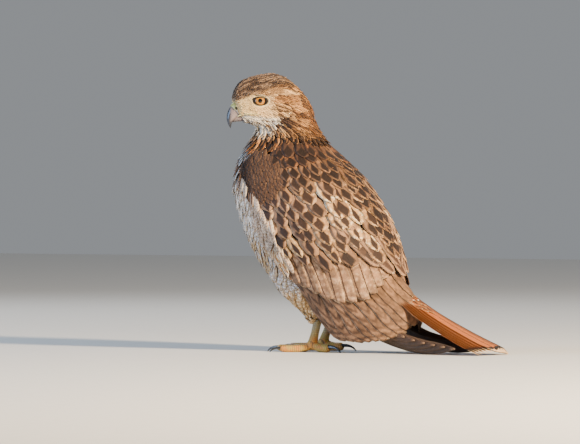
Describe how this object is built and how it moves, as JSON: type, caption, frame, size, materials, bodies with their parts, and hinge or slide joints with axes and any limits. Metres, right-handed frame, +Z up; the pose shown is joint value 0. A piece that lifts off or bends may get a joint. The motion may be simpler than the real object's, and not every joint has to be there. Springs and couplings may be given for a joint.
{
  "type": "red tailed hawk",
  "caption": "Life-size red tailed hawk standing upright with its head turned to its left, wings folded, and wing tips and tail laid on the floor behind it.",
  "frame": {"origin": "middle of the base box, on the floor that the feet, wing tips and tail rest on", "axes": "+Z up; the body faces -Y and the tail lies towards +Y; the bird's left side is +X"},
  "size_m": [0.1796, 0.3824, 0.352],
  "materials": {
    "head_feathers": "brown feathers with buff edges",
    "breast": "off-white feathers with brown streaks",
    "wing": "dark brown feathers with pale edges",
    "tail": "rust red feathers with a dark band",
    "eye": "amber iris, black pupil, wet gloss",
    "cere": "waxy yellow green",
    "bill": "dark horn, paler at the base",
    "scales": "yellow scaly skin",
    "claw": "black horn"
  },
  "bodies": {
    "root": {"bill_lower": "bill", "bill_upper": "bill", "cere": "cere", "claw_left_hind": "claw", "claw_left_inner": "claw", "claw_left_middle": "claw", "claw_left_outer": "claw", "claw_right_hind": "claw", "claw_right_inner": "claw", "claw_right_middle": "claw", "claw_right_outer": "claw", "eye_left": "eye", "eye_right": "eye", "foot_left": "scales", "foot_right": "scales", "head": "head_feathers", "neck": "breast", "tail": "tail", "thigh_left": "breast", "thigh_right": "breast", "torso": "breast", "wing_left": "wing", "wing_right": "wing"}
  },
  "joints": []
}
